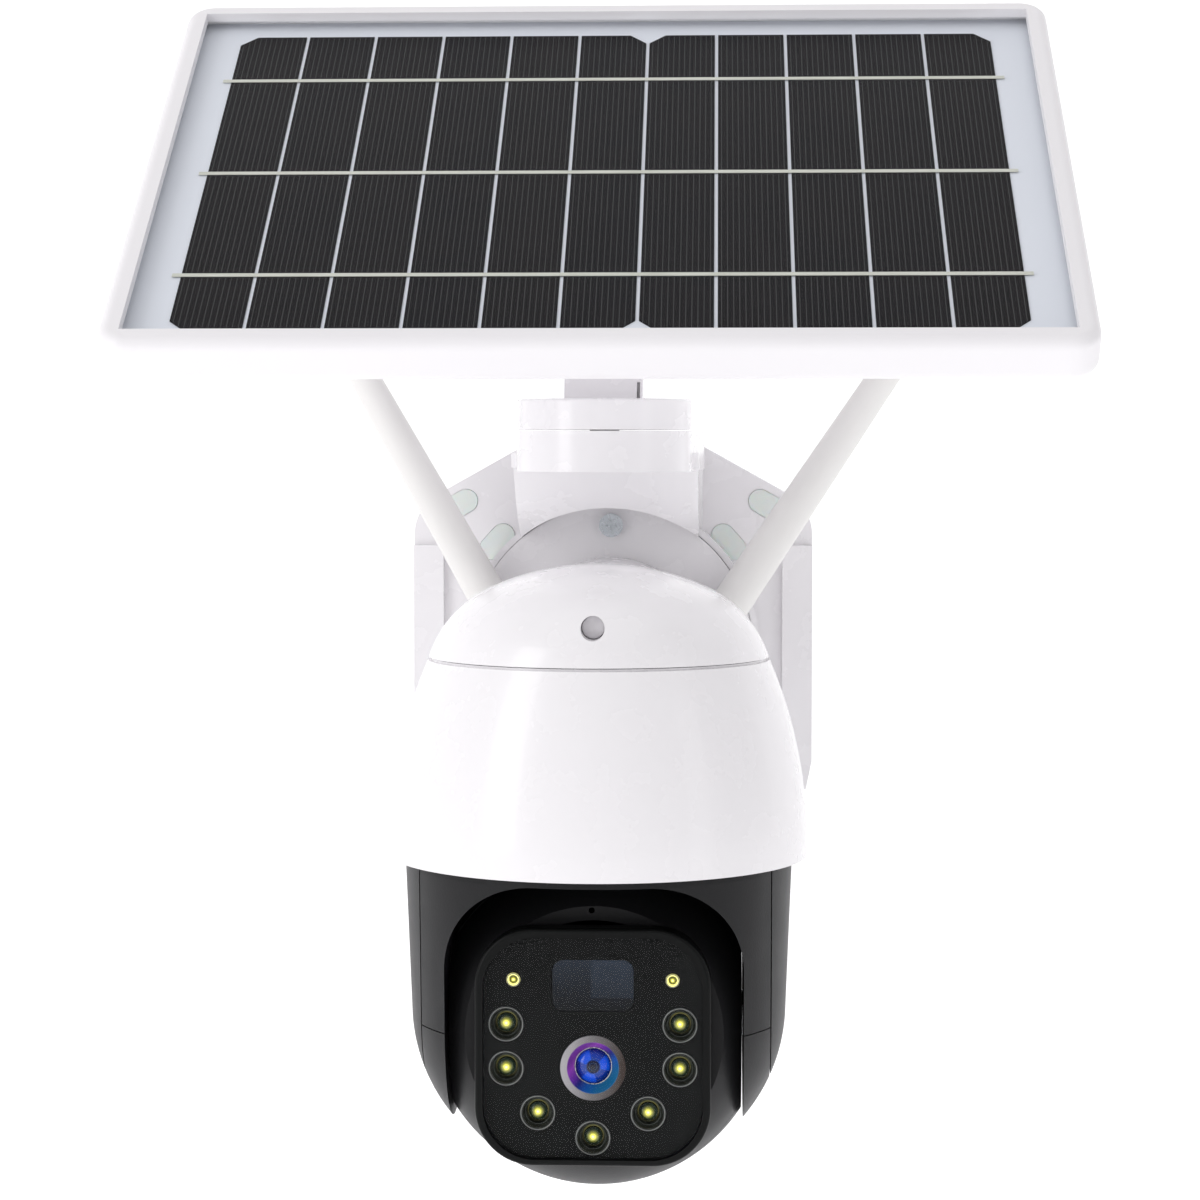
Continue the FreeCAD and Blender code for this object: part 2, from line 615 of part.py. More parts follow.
def yoke_parts():
    """The frame, its two side covers and the two ear caps under the tilt shafts."""
    blank = yoke_blank()
    high = ("tilt_z + side_seam / 2", 0)
    low = ("ear_low - 5", "tilt_z - side_seam / 2")
    inside = ("dome_y - 60", "dome_y + 60")
    frame = common(blank, fuse(box(("-side_seam_x", "side_seam_x"), inside, high),
                               box((-60, 60), inside, ("cover_top + side_seam", 0))))
    outside = [("side_seam_x + side_seam", 60), (-60, "-side_seam_x - side_seam")]
    covers = [common(blank, box(x, inside, ("ear_low - 5", "cover_top"))) for x in outside]
    arms = [("yoke_gap - 1", "side_seam_x"), ("-side_seam_x", "1 - yoke_gap")]
    caps = [common(blank, box(x, inside, low)) for x in arms]
    return [("yoke_frame", frame), ("side_covers", together(*covers)), ("ear_caps", together(*caps))]


def tilt_shaft(side):
    """A hollow shaft, fixed in the yoke's arm, that the head turns on."""
    span = (29, "yoke_gap + 5") if side > 0 else ("-yoke_gap - 5", -29)
    hollow = (28, 60) if side > 0 else (-60, -28)
    collar = ("yoke_gap + 2.4", "yoke_gap + 3.6") if side > 0 else ("-yoke_gap - 3.6", "-yoke_gap - 2.4")
    centre = ("dome_y", "tilt_z")
    return cut(fuse(rod("x", centre, "tilt_shaft_r", span), rod("x", centre, "tilt_shaft_r + 2.5", collar)),
               rod("x", centre, "tilt_shaft_r - 2.2", hollow))


def hub_ring():
    """The ring that holds the yoke's hub up on the chassis plate."""
    return cut(rod("z", (0, "dome_y"), 14.7, (-21.2, -18.6)), rod("z", (0, "dome_y"), "hub_r", (-23, -17)))


# ---------------------------------------------------------------- camera head

# x and z of the lights, seen from the front, about the middle of the face
LED_SPOTS = [(-22.2, 5), (22.2, 5), (-22.2, -6.4), (22.2, -6.4), (-14.1, -17.8), (14.1, -17.8), (0, -24.2)]
SMALL_LED_SPOTS = [(-20.3, 16.4), (20.3, 16.4)]
LENS_Z = -6.2
WINDOW_Z = 15
BEZEL_RISE = -0.6


def slab(width, height, corner, span, rise=0):
    """A rounded rectangle seen from the front, about the head's middle."""
    block = box(("-(%s) / 2" % width, "(%s) / 2" % width), span,
                ("face_z + %s - (%s) / 2" % (rise, height), "face_z + %s + (%s) / 2" % (rise, height)))
    return rounded(block, corner, runs_along(Vector(0, 1, 0)))


def face(offset):
    """A y place, measured back from the bezel's front."""
    return "dome_y - face_depth + %s" % offset


def head_hollow():
    back = common(ball((0, "dome_y", "tilt_z"), "head_r - 2.6"),
                  box(("2.6 - head_half", "head_half - 2.6"), ("dome_y - 60", "dome_y + 60"), (-160, -20)))
    snout = slab("bezel_w - 7", "bezel_h - 7", "bezel_corner - 3.5", (face(-2), "dome_y - 8"), BEZEL_RISE)
    return fuse(back, snout)


def head_solid():
    core = common(ball((0, "dome_y", "tilt_z"), "head_r"),
                  box(("-head_half", "head_half"), ("dome_y - 60", "dome_y + 60"), (-160, -20)))
    snout = slab("bezel_w - 0.8", "bezel_h - 0.8", "bezel_corner - 0.4", (face(6.5), "dome_y - 6"),
                 BEZEL_RISE)
    core = common(core, box((-60, 60), (face(9), -60), (-160, -20)))
    bore = rod("x", ("dome_y", "tilt_z"), "tilt_shaft_r + running_gap", (-60, 60))
    microphone = rod("y", (-0.6, "face_z + 33.2"), 0.8, (face(5), face(13)))
    return cut(fuse(core, snout), head_hollow(), bore, microphone)


def head_parts():
    solid = head_solid()
    seam = "dome_y - head_split"
    rear = common(solid, box((-60, 60), ("%s + 0.15" % seam, -60), (-160, -20)))
    front = common(solid, box((-60, 60), (-200, "%s - 0.15" % seam), (-160, -20)))
    return [("head_rear_shell", rear), ("head_front_shell", front)]


def head_bezel():
    rim = slab("bezel_w", "bezel_h", "bezel_corner", (face(0), face(6.4)), BEZEL_RISE)
    rim = rounded(rim, 0.9, lambda edge: edge.BoundBox.YMax < number(face(0)) + 0.01)
    opening = slab("glass_w + 0.1", "glass_h + 0.1", "glass_corner", (face(-1), face(3.4)), -1)
    through = slab("glass_w - 1.4", "glass_h - 1.4", "glass_corner - 0.7", (face(-1), face(8)), -1)
    return cut(rim, opening, through)


def front_glass():
    return slab("glass_w", "glass_h", "glass_corner", (face(1.1), face(2)), -1)


def front_mask():
    """The black panel behind the glass, with a hole for each light and the lens."""
    plate = slab("glass_w", "glass_h", "glass_corner", (face(2.05), face(3.3)), -1)
    tall = (face(1), face(5))
    holes = [rod("y", (x, "face_z + %s" % z), 4.55, tall) for x, z in LED_SPOTS]
    holes += [rod("y", (x, "face_z + %s" % z), 1.8, tall) for x, z in SMALL_LED_SPOTS]
    holes.append(rod("y", (0, "face_z + %s" % LENS_Z), 8.4, tall))
    holes.append(slab(21, 13.3, 3, tall, WINDOW_Z))
    return cut(plate, *holes)


def led_cups():
    cups = []
    for x, z in LED_SPOTS:
        centre = (x, "face_z + %s" % z)
        cups.append(cut(fuse(rod("y", centre, 4.5, (face(2.1), face(6.4))),
                             rod("y", centre, 2.9, (face(6.3), face(6.95)))),
                        cone("y", centre, 3.9, 1.9, (face(2), face(7)))))
    return together(*cups)


def led_emitters():
    lamps = []
    for x, z in LED_SPOTS:
        centre = (x, "face_z + %s" % z)
        lamps.append(fuse(common(ball((x, face(6.2), "face_z + %s" % z), 1.5),
                                 rod("y", centre, 2, (face(4), face(6.2)))),
                          rod("y", centre, 1.7, (face(6.2), face(6.95)))))
    return together(*lamps)


def status_leds():
    lamps = []
    for x, z in SMALL_LED_SPOTS:
        centre = (x, "face_z + %s" % z)
        ring = cut(rod("y", centre, 1.75, (face(2.1), face(6.9))), rod("y", centre, 1.2, (face(2), face(5))))
        lamps.append(fuse(ring, ball((x, face(4.6), "face_z + %s" % z), 1.15)))
    return together(*lamps)


def led_board():
    board = slab(50, 51, 11, (face(7), face(8.4)), -1)
    return cut(board, rod("y", (0, "face_z + %s" % LENS_Z), 8.6, (face(6), face(10))),
               slab(21.4, 13.8, 3, (face(6), face(10)), WINDOW_Z))


def lens_barrel():
    centre = (0, "face_z + %s" % LENS_Z)
    barrel = rod("y", centre, 7, (face(5.2), face(22)))
    return cut(barrel, rod("y", centre, 5.6, (face(5), face(9))))


def lens_ring():
    centre = (0, "face_z + %s" % LENS_Z)
    ring = rod("y", centre, 8.35, (face(2.1), face(5.1)))
    return cut(ring, cone("y", centre, 6.6, 4.8, (face(2), face(5.2))))


def lens_glass():
    """The domed front element."""
    centre = (0, "face_z + %s" % LENS_Z)
    round_front = ball((0, face(10.6), "face_z + %s" % LENS_Z), 7.2)
    dome = common(round_front, rod("y", centre, 5.5, (face(3), face(7))))
    return fuse(dome, rod("y", centre, 5.5, (face(7), face(8.5))))


def sensor_window():
    return slab(20.8, 13.1, 2.9, (face(2.4), face(5.4)), WINDOW_Z)


def sensor_board():
    board = box((-15, 15), (face(22), face(23.5)), ("face_z - 20", "face_z + 12"))
    sensor = box((-4.5, 4.5), (face(23.5), face(25)), ("face_z - 10.7", "face_z - 1.7"))
    return fuse(board, sensor)


def tilt_motor():
    centre = ("dome_y + %s" % TILT_CENTRES, "tilt_z")
    return fuse(rod("x", centre, 11.5, (11, 28.6)), rod("x", centre, 1, (28.6, 34.4)))


# ---------------------------------------------------------------- swivel, post and panel

def swivel_disc():
    disc = rod("z", (0, "boss_y"), "boss_r", ("boss_seam + 0.3", "disc_top"))
    disc = rounded(disc, 0.8, lambda edge: edge.BoundBox.ZMin > number("disc_top") - 0.01)
    spigot = rod("z", (0, "boss_y"), "4.2 - running_gap", ("boss_low + 4.2", "boss_seam + 1"))
    return cut(fuse(disc, spigot), rod("z", (0, "boss_y"), 1.6, (40, 68)))


def swivel_nut():
    washer = rod("z", (0, "boss_y"), 7, ("boss_low + 2.2", "boss_low + 3.7"))
    return fuse(washer, rod("z", (0, "boss_y"), 1.6, ("boss_low + 2.2", 67)))


def panel_post():
    """The arm from the disc up to the hinge."""
    centre = ("hinge_y", "hinge_z")
    arm = padded("YZ_Plane", [("boss_y - 9.5", "disc_top"), ("boss_y + 11", "disc_top"),
                              ("hinge_y + hinge_eye_r * 0.9", "hinge_z - 3.9"),
                              ("hinge_y - hinge_eye_r * 0.9", "hinge_z + 3.9")], ("-post_half", "post_half"))
    eye = rod("x", centre, "hinge_eye_r", ("-post_half", "post_half"))
    slot = box(("post_half - 1.6", "post_half - 0.7"), ("boss_y - 11", "boss_y - 6"),
               ("disc_top", "disc_top + 4.6"))
    return cut(fuse(arm, eye), rod("x", centre, "hinge_pin_r + running_gap", (-20, 20)), slot)


def on_panel(piece):
    """Moves a piece from the panel's own plane to its place, tilted about X."""
    thing = together(piece) if piece.TypeId == "Part::Box" else piece
    thing.Placement = FreeCAD.Placement(Vector(), FreeCAD.Rotation(Vector(1, 0, 0), 10))
    bind(thing, Placement__Rotation__Angle="panel_tilt")
    return place(thing, 0, "panel_y", "panel_z")


def sheet_of(width, height, span):
    return box(("-(%s) / 2" % width, "(%s) / 2" % width), ("-(%s) / 2" % height, "(%s) / 2" % height), span)


def panel_frame():
    outer = rounded(sheet_of("panel_w", "panel_h", ("-panel_deep", "panel_lip")), "panel_corner",
                    runs_along(Vector(0, 0, 1)))
    top = rounded(outer, 3.2, lambda edge: edge.BoundBox.ZMin > number("panel_lip") - 0.01)
    low = rounded(top, 3.2, lambda edge: edge.BoundBox.ZMax < 0.01 - number("panel_deep"))
    window = sheet_of("window_w", "window_h", (-5, "panel_lip + 1"))
    rebate = sheet_of("rebate_w", "rebate_h", ("-panel_deep - 1", 0))
    back = sheet_of("rebate_w - 6", "rebate_h - 6", ("-panel_deep - 1", "-panel_deep + 2"))
    return on_panel(cut(low, window, rebate, back))


# the four screws of the hinge lug, in the panel's own plane
LUG_SPOTS = [(sx * 21, v) for sx in (-1, 1) for v in (-25, 7)]


def panel_back():
    tray = sheet_of("rebate_w - 0.4", "rebate_h - 0.4", ("-panel_deep + 0.4", "-panel_deep + 2.6"))
    ribs = [sheet_of("rebate_w - 6", 1.6, ("-panel_deep + 2.6", -3.3))]
    for v in (-54, 54):
        rib = sheet_of("rebate_w - 6", 1.6, ("-panel_deep + 2.6", -3.3))
        rib.setExpression("Placement.Base.y", str(v - 0.8))
        ribs.append(rib)
    cross = [box((x - 0.8, x + 0.8), (-86, 86), ("-panel_deep + 2.6", -3.3)) for x in (-84, -28, 28, 84)]
    plinth = rounded(box((-32, 32), (-36, 20), ("-panel_deep - 1.6", "-panel_deep + 1")), 5,
                     runs_along(Vector(0, 0, 1)))
    threads = [rod("z", spot, "lug_screw_r + 0.05", (-20, "-panel_deep + 1")) for spot in LUG_SPOTS]
    return on_panel(cut(fuse(tray, plinth, *ribs, *cross), *threads))


def backsheet():
    return on_panel(sheet_of("rebate_w - 0.4", "rebate_h - 0.4", (-3.2, "-glass_deep - cell_deep - 0.15")))


def solar_cells():
    cells = []
    span = ("-glass_deep - cell_deep - 0.15", "-glass_deep - 0.15")
    for i in range(11):
        middle = "strip_pitch * %d" % (i - 5)
        strip = box(("%s - strip_w / 2" % middle, "%s + strip_w / 2" % middle),
                    ("-strip_h / 2", "strip_h / 2"), span)
        sides = {0: (-1,), 5: (1,), 6: (-1,), 10: (1,)}.get(i, ())
        for side in sides:
            strip = chamfered_corner(strip, middle, side)
        cells.append(strip)
    return on_panel(together(*cells))


def chamfered_corner(strip, middle, side):
    doc.recompute()
    edge_x = number("%s + strip_w / 2 * %d" % (middle, side))
    picked = [i + 1 for i, edge in enumerate(strip.Shape.Edges)
              if runs_along(Vector(0, 0, 1))(edge) and abs(edge.CenterOfMass.x - edge_x) < 0.01]
    result = doc.addObject("Part::Chamfer", "chamfer")
    result.Base = strip
    result.Edges = [(i, number("strip_chamfer"), number("strip_chamfer")) for i in picked]
    return result


def ribbons():
    long_half = "strip_pitch * 5 + strip_w / 2 + 2.5"
    bars = [box(("-(%s)" % long_half, long_half),
                ("ribbon_pitch * %d - ribbon_w / 2" % i, "ribbon_pitch * %d + ribbon_w / 2" % i),
                ("-glass_deep - 0.15", "-glass_deep - 0.02")) for i in (-1, 0, 1)]
    return on_panel(together(*bars))


def panel_glass():
    return on_panel(sheet_of("rebate_w - 0.4", "rebate_h - 0.4", ("-glass_deep", -0.05)))


def panel_lug():
    """The clevis on the panel's back."""
    plate = rounded(box((-26, 26), (-30, 12), ("-panel_deep - 4.6", "-panel_deep - 1.6")), 4,
                    runs_along(Vector(0, 0, 1)))
    ears = []
    for x in (("post_half + 0.4", "post_half + 4.9"), ("-post_half - 4.9", "-post_half - 0.4")):
        eye = rod("x", (HINGE_V, HINGE_W), "hinge_eye_r - 1", x)
        web = box(x, (HINGE_V - 11, HINGE_V + 11), (HINGE_W + 4, "-panel_deep - 4"))
        neck_block = box(x, ("%s - hinge_eye_r + 1" % HINGE_V, "%s + hinge_eye_r - 1" % HINGE_V),
                         (HINGE_W, HINGE_W + 5))
        ears.append(fuse(eye, neck_block, web))
    return on_panel(cut(fuse(plate, *ears), rod("x", (HINGE_V, HINGE_W), "hinge_pin_r", (-40, 40)),
                        *[rod("z", spot, "lug_screw_r + 0.1", (-20, 0)) for spot in LUG_SPOTS]))


def bracket_screws():
    screws = [screw("z", spot, "-panel_deep - 6.5", "-panel_deep + 0.9", 2.9, 1.9, "lug_screw_r")
              for spot in LUG_SPOTS]
    return on_panel(together(*screws))


def hinge_bolt():
    centre = (HINGE_V, HINGE_W)
    head = rod("x", centre, 5, ("-post_half - 8.4", "-post_half - 4.9"))
    return on_panel(fuse(head, rod("x", centre, "hinge_pin_r", ("-post_half - 5", "post_half + 15"))))


def hinge_knob():
    """The hand knob that clamps the hinge, with finger hollows round its rim."""
    centre = (HINGE_V, HINGE_W)
    grip = rod("x", centre, "knob_r", ("post_half + 8.3", "post_half + 17"))
    boss = rod("x", centre, 6, ("post_half + 5.2", "post_half + 9"))
    bore = rod("x", centre, "hinge_pin_r + running_gap", ("post_half", "post_half + 15.5"))
    finger_r = number("knob_r") + 1.7
    hollows = [rod("x", (HINGE_V + finger_r * math.cos(math.radians(turn)),
                         HINGE_W + finger_r * math.sin(math.radians(turn))), 3, (0, 60))
               for turn in range(0, 360, 60)]
    return on_panel(cut(fuse(grip, boss), bore, *hollows))


def junction_box():
    block = rounded(box((-24, 24), (30, 56), ("-panel_deep - 9", "-panel_deep + 0.4")), 3,
                    runs_along(Vector(0, 0, 1)))
    return on_panel(block)


# ---------------------------------------------------------------- antennas

def antenna_base(side):
    centre = ("antenna_y", "antenna_z")
    x = "antenna_x * %d" % side
    stem_x = (25, "antenna_x") if side > 0 else ("-antenna_x", -25)
    stem = box(stem_x, ("antenna_y - tongue_half", "antenna_y + tongue_half"),
               ("antenna_z - 3", "antenna_z + 3"))
    tongue = rod("y", (x, "antenna_z"), 3.6, ("antenna_y - tongue_half", "antenna_y + tongue_half"))
    thread = rod("x", centre, 3.25, (17, 25) if side > 0 else (-25, -17))
    pin = rod("y", (x, "antenna_z"), "antenna_pin_r", ("antenna_y - 4.6", "antenna_y + 4.6"))
    return fuse(thread, stem, tongue, pin)


def antenna_rod(side):
    """A tapered rod with a slotted round end, leaning out from its pivot."""
    taper = cone("z", (0, 0), "antenna_base_r", "antenna_tip_r", (0, "antenna_length - antenna_tip_r"))
    tip = ball((0, 0, "antenna_length - antenna_tip_r"), "antenna_tip_r")
    knuckle = ball((0, 0, 0), "antenna_base_r")
    gap = "tongue_half + tongue_gap"
    slot = fuse(box((-8, 8), ("-(%s)" % gap, gap), (-8, 3)), rod("y", (0, 3), 4.6, ("-(%s)" % gap, gap)),
                box((-8, 8), ("-(%s)" % gap, gap), (2, 4.4)))
    bar = cut(fuse(taper, tip, knuckle), slot, rod("y", (0, 0), "antenna_pin_r + running_gap", (-8, 8)))
    bar.Placement = FreeCAD.Placement(Vector(), FreeCAD.Rotation(Vector(0, 1, 0), side * 10))
    bind(bar, Placement__Rotation__Angle="lean_right" if side > 0 else "-lean_left")
    return place(bar, "antenna_x * %d" % side, "antenna_y", "antenna_z")


# ---------------------------------------------------------------- everything

PAN_CENTRES = number("gear_module * (pan_teeth + pan_pinion_teeth) / 2")
TILT_CENTRES = number("gear_module * (tilt_teeth + tilt_pinion_teeth) / 2")
TILT = math.radians(number("panel_tilt"))
HINGE_V = (number("hinge_y - panel_y") * math.cos(TILT) + number("hinge_z - panel_z") * math.sin(TILT))
HINGE_W = (number("hinge_z - panel_z") * math.cos(TILT) - number("hinge_y - panel_y") * math.sin(TILT))


def make_everything():
    node("wall_plate", wall_plate())
    node("housing_rear", housing_rear())
    node("housing_front", housing_front())
    node("housing_gasket", gasket_ring(0))
    node("housing_screws", housing_screws())
    node("shoulder_plugs", together(*plug_set(3.5, 2.6, ("case_front - 0.35", "case_front + 1.55"))))
    node("battery_cells", battery_cells())
    node("charge_board", charge_board())
    node("power_button", power_button())
    node("port_plug", port_plug())
    node("solar_inlet", solar_inlet())
    node("neck", neck())
    node("flange_screws", together(*[cross_cut(screw("y", spot, "flange_face - 2.4", -33.5, 3.5, 2.4, 1.25),
                                               spot, "flange_face - 2.4") for spot in flange_spots()]))
    node("dome_cap", dome_cap())
    node("dome_shroud", dome_shroud())
    node("chassis_plate", chassis_plate())
    node("dome_screws", together(cap_screw(), *chassis_screws()))
    node("main_board", main_board())
    node("pan_motor", pan_motor())
    node("pan_pinion", pan_pinion())
    node("pan_gear", pan_gear())
    node("hub_ring", hub_ring())
    for name, thing in yoke_parts():
        node(name, thing)
    node("tilt_shafts", together(tilt_shaft(1), tilt_shaft(-1)))
    node("tilt_gear", tilt_gear())
    node("tilt_pinion", tilt_pinion())
    node("tilt_motor", tilt_motor())
    for name, thing in head_parts():
        node(name, thing)
    node("head_bezel", head_bezel())
    node("front_glass", front_glass())
    node("front_mask", front_mask())
    node("led_cups", led_cups())
    node("led_emitters", led_emitters())
    node("status_leds", status_leds())
    node("led_board", led_board())
    node("lens_barrel", lens_barrel())
    node("lens_ring", lens_ring())
    node("lens_glass", lens_glass())
    node("sensor_window", sensor_window())
    node("sensor_board", sensor_board())
    node("swivel_disc", swivel_disc())
    node("swivel_bolt", swivel_nut())
    node("panel_post", panel_post())
    node("panel_frame", panel_frame())
    node("panel_back", panel_back())
    node("backsheet", backsheet())
    node("solar_cells", solar_cells())
    node("cell_ribbons", ribbons())
    node("panel_glass", panel_glass())
    node("panel_lug", panel_lug())
    node("bracket_screws", bracket_screws())
    node("hinge_bolt", hinge_bolt())
    node("hinge_knob", hinge_knob())
    node("junction_box", junction_box())
    node("antenna_bases", together(antenna_base(-1), antenna_base(1)))
    node("antenna_left", antenna_rod(-1))
    node("antenna_right", antenna_rod(1))


make_everything()
doc.recompute()
faults = [thing.Label for thing in doc.Objects if {"Invalid", "Error"} & set(thing.State)]
faults += [thing.Label for thing in nodes if thing.Shape.isNull() or not thing.Shape.isValid()]
if faults:
    raise SystemExit("failed: " + ", ".join(faults))
os.makedirs("parts", exist_ok=True)
for thing in nodes:
    thing.Shape.exportStep("parts/%s.step" % thing.Label)
    print("%-20s %d solids %9.1f mm3" % (thing.Label, len(thing.Shape.Solids), thing.Shape.Volume))
print(len(nodes), "nodes")
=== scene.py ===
import json
import math
import bmesh
import bpy
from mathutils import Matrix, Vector


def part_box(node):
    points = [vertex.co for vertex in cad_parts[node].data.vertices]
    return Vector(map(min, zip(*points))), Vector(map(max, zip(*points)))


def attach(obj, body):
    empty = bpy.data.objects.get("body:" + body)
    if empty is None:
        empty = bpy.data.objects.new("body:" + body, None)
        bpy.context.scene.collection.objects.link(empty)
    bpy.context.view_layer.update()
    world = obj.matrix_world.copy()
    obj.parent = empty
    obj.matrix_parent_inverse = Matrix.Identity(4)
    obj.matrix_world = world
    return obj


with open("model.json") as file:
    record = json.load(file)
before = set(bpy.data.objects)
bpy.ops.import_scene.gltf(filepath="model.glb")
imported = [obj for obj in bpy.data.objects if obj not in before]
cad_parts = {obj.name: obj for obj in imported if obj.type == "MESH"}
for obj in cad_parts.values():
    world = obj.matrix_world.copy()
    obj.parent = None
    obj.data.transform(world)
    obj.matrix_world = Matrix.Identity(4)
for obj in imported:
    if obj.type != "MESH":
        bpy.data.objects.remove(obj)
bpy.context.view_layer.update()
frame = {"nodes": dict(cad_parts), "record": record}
nodes = frame["nodes"]

# the script works in metres; sizes given in millimetres are multiplied by MM
MM = 0.001
SOFT_EDGE = 0.5 * MM


# ------------------------------------------------------------------ node helpers

class Shader:
    """A material's node tree with short names for the nodes that are used here."""

    def __init__(self, name):
        self.material = bpy.data.materials.new(name)
        self.material.use_nodes = True
        self.tree = self.material.node_tree
        self.principled = self.tree.nodes["Principled BSDF"]
        self.output = self.tree.nodes["Material Output"]
        self.place = self.tree.nodes.new("ShaderNodeTexCoord").outputs["Object"]

    def new(self, kind, **settings):
        made = self.tree.nodes.new(kind)
        for key, value in settings.items():
            setattr(made, key, value)
        return made

    def join(self, source, target):
        self.tree.links.new(source, target)

    def feed(self, made, **inputs):
        """Sets or links a node's inputs; an underscore in a name stands for a space."""
        for key, value in inputs.items():
            socket = made.inputs[key.replace("_", " ")]
            if isinstance(value, bpy.types.NodeSocket):
                self.join(value, socket)
            else:
                socket.default_value = value
        return made

    def noise(self, scale, detail=2.0, stretch=(1, 1, 1), roughness=0.5):
        mapping = self.feed(self.new("ShaderNodeMapping"), Vector=self.place, Scale=stretch)
        made = self.feed(self.new("ShaderNodeTexNoise"), Vector=mapping.outputs["Vector"], Scale=scale,
                         Detail=detail, Roughness=roughness)
        return made.outputs["Fac"]

    def maths(self, operation, a, b=0.0, c=0.0):
        made = self.new("ShaderNodeMath", operation=operation)
        for i, value in enumerate((a, b, c)):
            if isinstance(value, bpy.types.NodeSocket):
                self.join(value, made.inputs[i])
            else:
                made.inputs[i].default_value = value
        return made.outputs[0]

    def between(self, value, low, high, start=0.0, end=1.0):
        """The value's stretch from start to end, spread from low to high."""
        made = self.feed(self.new("ShaderNodeMapRange"), Value=value)
        made.inputs["From Min"].default_value = start
        made.inputs["From Max"].default_value = end
        made.inputs["To Min"].default_value = low
        made.inputs["To Max"].default_value = high
        return made.outputs["Result"]

    def ramp(self, value, stops):
        made = self.feed(self.new("ShaderNodeValToRGB"), Fac=value)
        band = made.color_ramp
        while len(band.elements) > 1:
            band.elements.remove(band.elements[-1])
        band.elements[0].position = stops[0][0]
        band.elements[0].color = (*stops[0][1], 1)
        for spot, colour in stops[1:]:
            band.elements.new(spot).color = (*colour, 1)
        return made.outputs["Color"]

    def blend(self, share, a, b):
        made = self.new("ShaderNodeMix", data_type="RGBA")
        for index, value in ((0, share), (6, a), (7, b)):
            if isinstance(value, bpy.types.NodeSocket):
                self.join(value, made.inputs[index])
            else:
                made.inputs[index].default_value = value if index == 0 else (*value[:3], 1)
        return made.outputs[2]

    def bump(self, height, distance, strength=1.0):
        made = self.feed(self.new("ShaderNodeBump"), Height=height, Distance=distance, Strength=strength)
        self.join(made.outputs["Normal"], self.principled.inputs["Normal"])

    def finish(self, **inputs):
        self.feed(self.principled, **inputs)
        return self.material


def moulded(name, colour, roughness, grain=0.02, grain_scale=2500, coat=0.0, sheen_spread=0.03, wave=0.0,
            shine=0.5):
    """Injection-moulded plastic: slow colour drift, fine tool grain and a faint flow waviness."""
    s = Shader(name)
    drift = s.noise(14, 3)
    light = tuple(min(1, c * (1 + sheen_spread)) for c in colour)
    dark = tuple(c * (1 - sheen_spread) for c in colour)
    tint = s.blend(drift, dark, light)
    fine = s.noise(grain_scale, 2)
    slow = s.noise(45, 1)
    height = s.maths("ADD", s.maths("MULTIPLY", fine, grain), s.maths("MULTIPLY", slow, wave))
    s.bump(height, MM)
    rough = s.between(s.noise(90, 4), roughness * 0.95, roughness * 1.05, 0.3, 0.7)
    return s.finish(Base_Color=tint, Roughness=rough, Coat_Weight=coat, Coat_Roughness=0.06,
                    Specular_IOR_Level=shine)


def metal(name, colour, roughness, scratch=(1, 1, 1)):
    s = Shader(name)
    lines = s.noise(900, 4, scratch)
    tint = s.blend(lines, tuple(c * 0.85 for c in colour), colour)
    s.bump(lines, 0.00003, 0.6)
    return s.finish(Base_Color=tint, Roughness=s.between(lines, roughness * 0.7, roughness * 1.4, 0.3, 0.7),
                    Metallic=1.0)


def rubber(name, colour, roughness=0.6, clear=0.0):
    s = Shader(name)
    s.bump(s.noise(1800, 3), 0.00004, 0.5)
    tint = s.blend(s.noise(60, 3), tuple(c * 0.9 for c in colour), colour)
    return s.finish(Base_Color=tint, Roughness=s.between(s.noise(200, 2), roughness * 0.9, roughness * 1.1),
                    Subsurface_Weight=clear, Subsurface_Scale=0.002)


def window_glass(name, tint, haze, shine_share):
    """A thin clear sheet: its outer side mirrors by Fresnel and lets the rest straight through."""
    s = Shader(name)
    clear = s.feed(s.new("ShaderNodeBsdfTransparent"), Color=(*tint, 1))
    smear = s.between(s.noise(30, 4), 0.01, haze, 0.35, 0.75)
    shine = s.feed(s.new("ShaderNodeBsdfGlossy"), Color=(1, 1, 1, 1), Roughness=smear)
    edge = s.feed(s.new("ShaderNodeFresnel"), IOR=1.45)
    outside = s.maths("SUBTRACT", 1.0, s.new("ShaderNodeNewGeometry").outputs["Backfacing"])
    share = s.maths("MULTIPLY", s.maths("MULTIPLY", edge.outputs[0], outside), shine_share)
    both = s.new("ShaderNodeMixShader")
    s.join(share, both.inputs[0])
    s.join(clear.outputs[0], both.inputs[1])
    s.join(shine.outputs[0], both.inputs[2])
    s.join(both.outputs[0], s.output.inputs["Surface"])
    return s.material


# ------------------------------------------------------------------ special materials

STRIP_PITCH = 20.6 * MM
FINGER_PITCH = 1.6 * MM
FINGER_WIDTH = 0.16 * MM
# whole strips and a half, added so that the pattern is centred and never counts below zero
STRIP_SHIFT = STRIP_PITCH * 20.5


